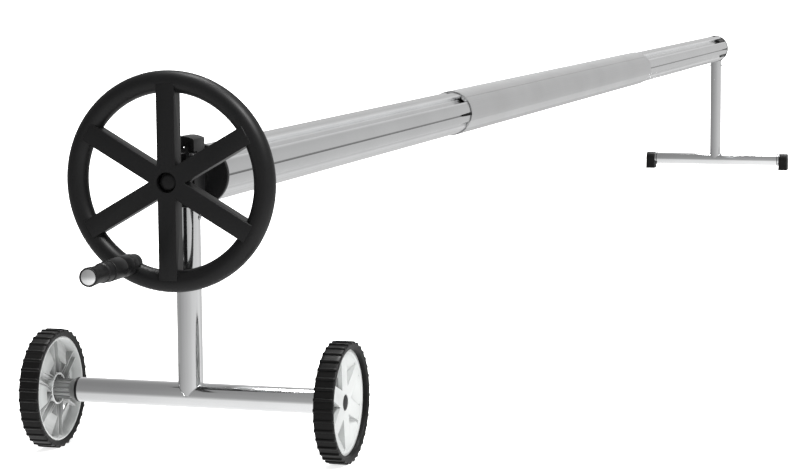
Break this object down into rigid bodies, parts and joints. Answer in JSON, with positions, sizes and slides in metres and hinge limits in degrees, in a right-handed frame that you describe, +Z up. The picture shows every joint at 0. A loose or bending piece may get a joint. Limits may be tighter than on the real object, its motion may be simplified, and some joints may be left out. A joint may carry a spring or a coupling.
{
  "type": "pool cover reel",
  "caption": "Telescoping reel for a pool cover: handwheel with crank at a wheeled stand, fluted tubes, and a footed stand at the far end.",
  "frame": {"origin": "on the ground under the reel axis, half way along the object's length", "axes": "+Z up; +Y along the reel tube from the handwheel end to the footed end; +X to the right for someone facing the handwheel"},
  "size_m": [0.5432, 5.654, 0.6379],
  "materials": {
    "stainless": "polished stainless tube",
    "fluted_aluminium": "bright extruded aluminium",
    "satin_aluminium": "satin extruded aluminium",
    "black_plastic": "satin moulded plastic",
    "tyre_rubber": "matt moulded rubber",
    "foot_rubber": "matt moulded rubber",
    "grey_plastic": "satin moulded plastic",
    "nylon": "natural nylon",
    "steel": "plain machined steel",
    "chrome": "polished chrome"
  },
  "bodies": {
    "near_stand": {"near_base_tube": "stainless", "near_post": "stainless", "base_plug_left": "black_plastic", "base_plug_right": "black_plastic", "axle": "steel", "axle_nut_left": "steel", "axle_nut_right": "steel", "near_saddle": "black_plastic", "near_saddle_screw_left": "steel", "near_saddle_screw_right": "steel", "near_bush": "nylon", "keeper_pin": "steel"},
    "keeper_arm": {"keeper": "black_plastic"},
    "left_wheel": {"left_tyre": "tyre_rubber", "left_rim": "grey_plastic", "left_hub_cap": "black_plastic"},
    "right_wheel": {"right_tyre": "tyre_rubber", "right_rim": "grey_plastic", "right_hub_cap": "black_plastic"},
    "near_reel": {"handwheel": "black_plastic", "near_shaft": "steel", "handwheel_drive_pin": "steel", "hub_washer": "steel", "hub_nut": "steel", "hub_cap": "black_plastic", "crank_collar": "black_plastic", "crank_spindle": "steel", "crank_nut": "steel", "near_tube": "fluted_aluminium", "near_tube_plug": "black_plastic", "near_drive_pin": "steel", "near_plug_screw_a": "steel", "near_plug_screw_b": "steel"},
    "crank_grip": {"grip": "black_plastic", "grip_cap": "chrome"},
    "middle_reel": {"middle_tube": "satin_aluminium", "slot_key": "black_plastic", "near_clamp_screw_a": "steel", "near_clamp_screw_b": "steel", "far_clamp_screw_a": "steel", "far_clamp_screw_b": "steel"},
    "far_reel": {"far_tube": "fluted_aluminium", "far_tube_plug": "black_plastic", "far_shaft": "steel", "far_shaft_nut": "steel", "far_drive_pin": "steel", "far_plug_screw_a": "steel", "far_plug_screw_b": "steel"},
    "far_stand": {"far_post": "stainless", "far_base_tube": "stainless", "far_bearing_block": "black_plastic", "far_bearing_block_screw_left": "steel", "far_bearing_block_screw_right": "steel", "far_bush": "nylon", "far_foot_left": "foot_rubber", "far_foot_right": "foot_rubber", "far_stop_ring_left": "black_plastic", "far_stop_ring_right": "black_plastic"}
  },
  "joints": [
    {"name": "reel_spin", "type": "hinge", "parent": "near_stand", "child": "near_reel", "pos_m": [0, -2.571, 0.4592], "axis": [0, 1, 0], "continuous": true},
    {"name": "grip_spin", "type": "hinge", "parent": "near_reel", "child": "crank_grip", "pos_m": [-0.0655, -2.571, 0.3265], "axis": [0, 1, 0], "continuous": true},
    {"name": "near_extend", "type": "slide", "parent": "near_reel", "child": "middle_reel", "axis": [0, 1, 0], "range_m": [-0.6, 0.25]},
    {"name": "far_extend", "type": "slide", "parent": "middle_reel", "child": "far_reel", "axis": [0, 1, 0], "range_m": [-0.6, 0.25]},
    {"name": "far_stand_swing", "type": "hinge", "parent": "far_reel", "child": "far_stand", "pos_m": [0, 2.795, 0.4592], "axis": [0, 1, 0], "continuous": true},
    {"name": "left_wheel_spin", "type": "hinge", "parent": "near_stand", "child": "left_wheel", "pos_m": [-0.2482, -2.571, 0.1], "axis": [1, 0, 0], "continuous": true},
    {"name": "right_wheel_spin", "type": "hinge", "parent": "near_stand", "child": "right_wheel", "pos_m": [0.2614, -2.571, 0.1], "axis": [1, 0, 0], "continuous": true},
    {"name": "keeper_swing", "type": "hinge", "parent": "near_stand", "child": "keeper_arm", "pos_m": [0.0166, -2.571, 0.4985], "axis": [0, 1, 0], "range_deg": [0, 85]}
  ],
  "couplings": [
    {"joint": "far_stand_swing", "follows": "reel_spin", "ratio": -1}
  ]
}
